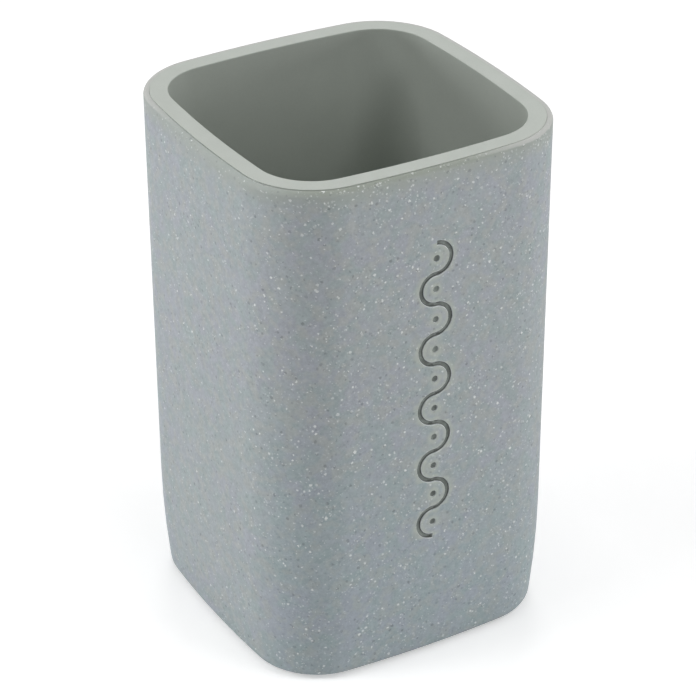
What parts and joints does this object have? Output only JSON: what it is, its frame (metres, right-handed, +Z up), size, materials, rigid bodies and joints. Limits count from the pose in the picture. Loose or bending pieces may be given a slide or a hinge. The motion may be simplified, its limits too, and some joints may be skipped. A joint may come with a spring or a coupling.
{
  "type": "bathroom tumbler",
  "caption": "Square bathroom tumbler with rounded corners: a stone-effect outer shell around a smooth cup, closed by a base cover on soft feet.",
  "frame": {"origin": "middle of the footprint, on the surface that the tumbler stands on", "axes": "+Z up along the middle of the cup, -Y out of the decorated front face, +X to the right seen from the front"},
  "size_m": [0.07, 0.07, 0.1138],
  "materials": {
    "stone_effect": "cast resin with a speckled, finely sandy stone-effect coat",
    "cup_plastic": "smooth satin",
    "cover_plastic": "fine moulded texture",
    "foot_rubber": "soft matt"
  },
  "bodies": {
    "root": {"outer_shell": "stone_effect", "inner_liner": "cup_plastic", "base_cover": "cover_plastic", "foot_front_left": "foot_rubber", "foot_front_right": "foot_rubber", "foot_back_left": "foot_rubber", "foot_back_right": "foot_rubber"}
  },
  "joints": []
}
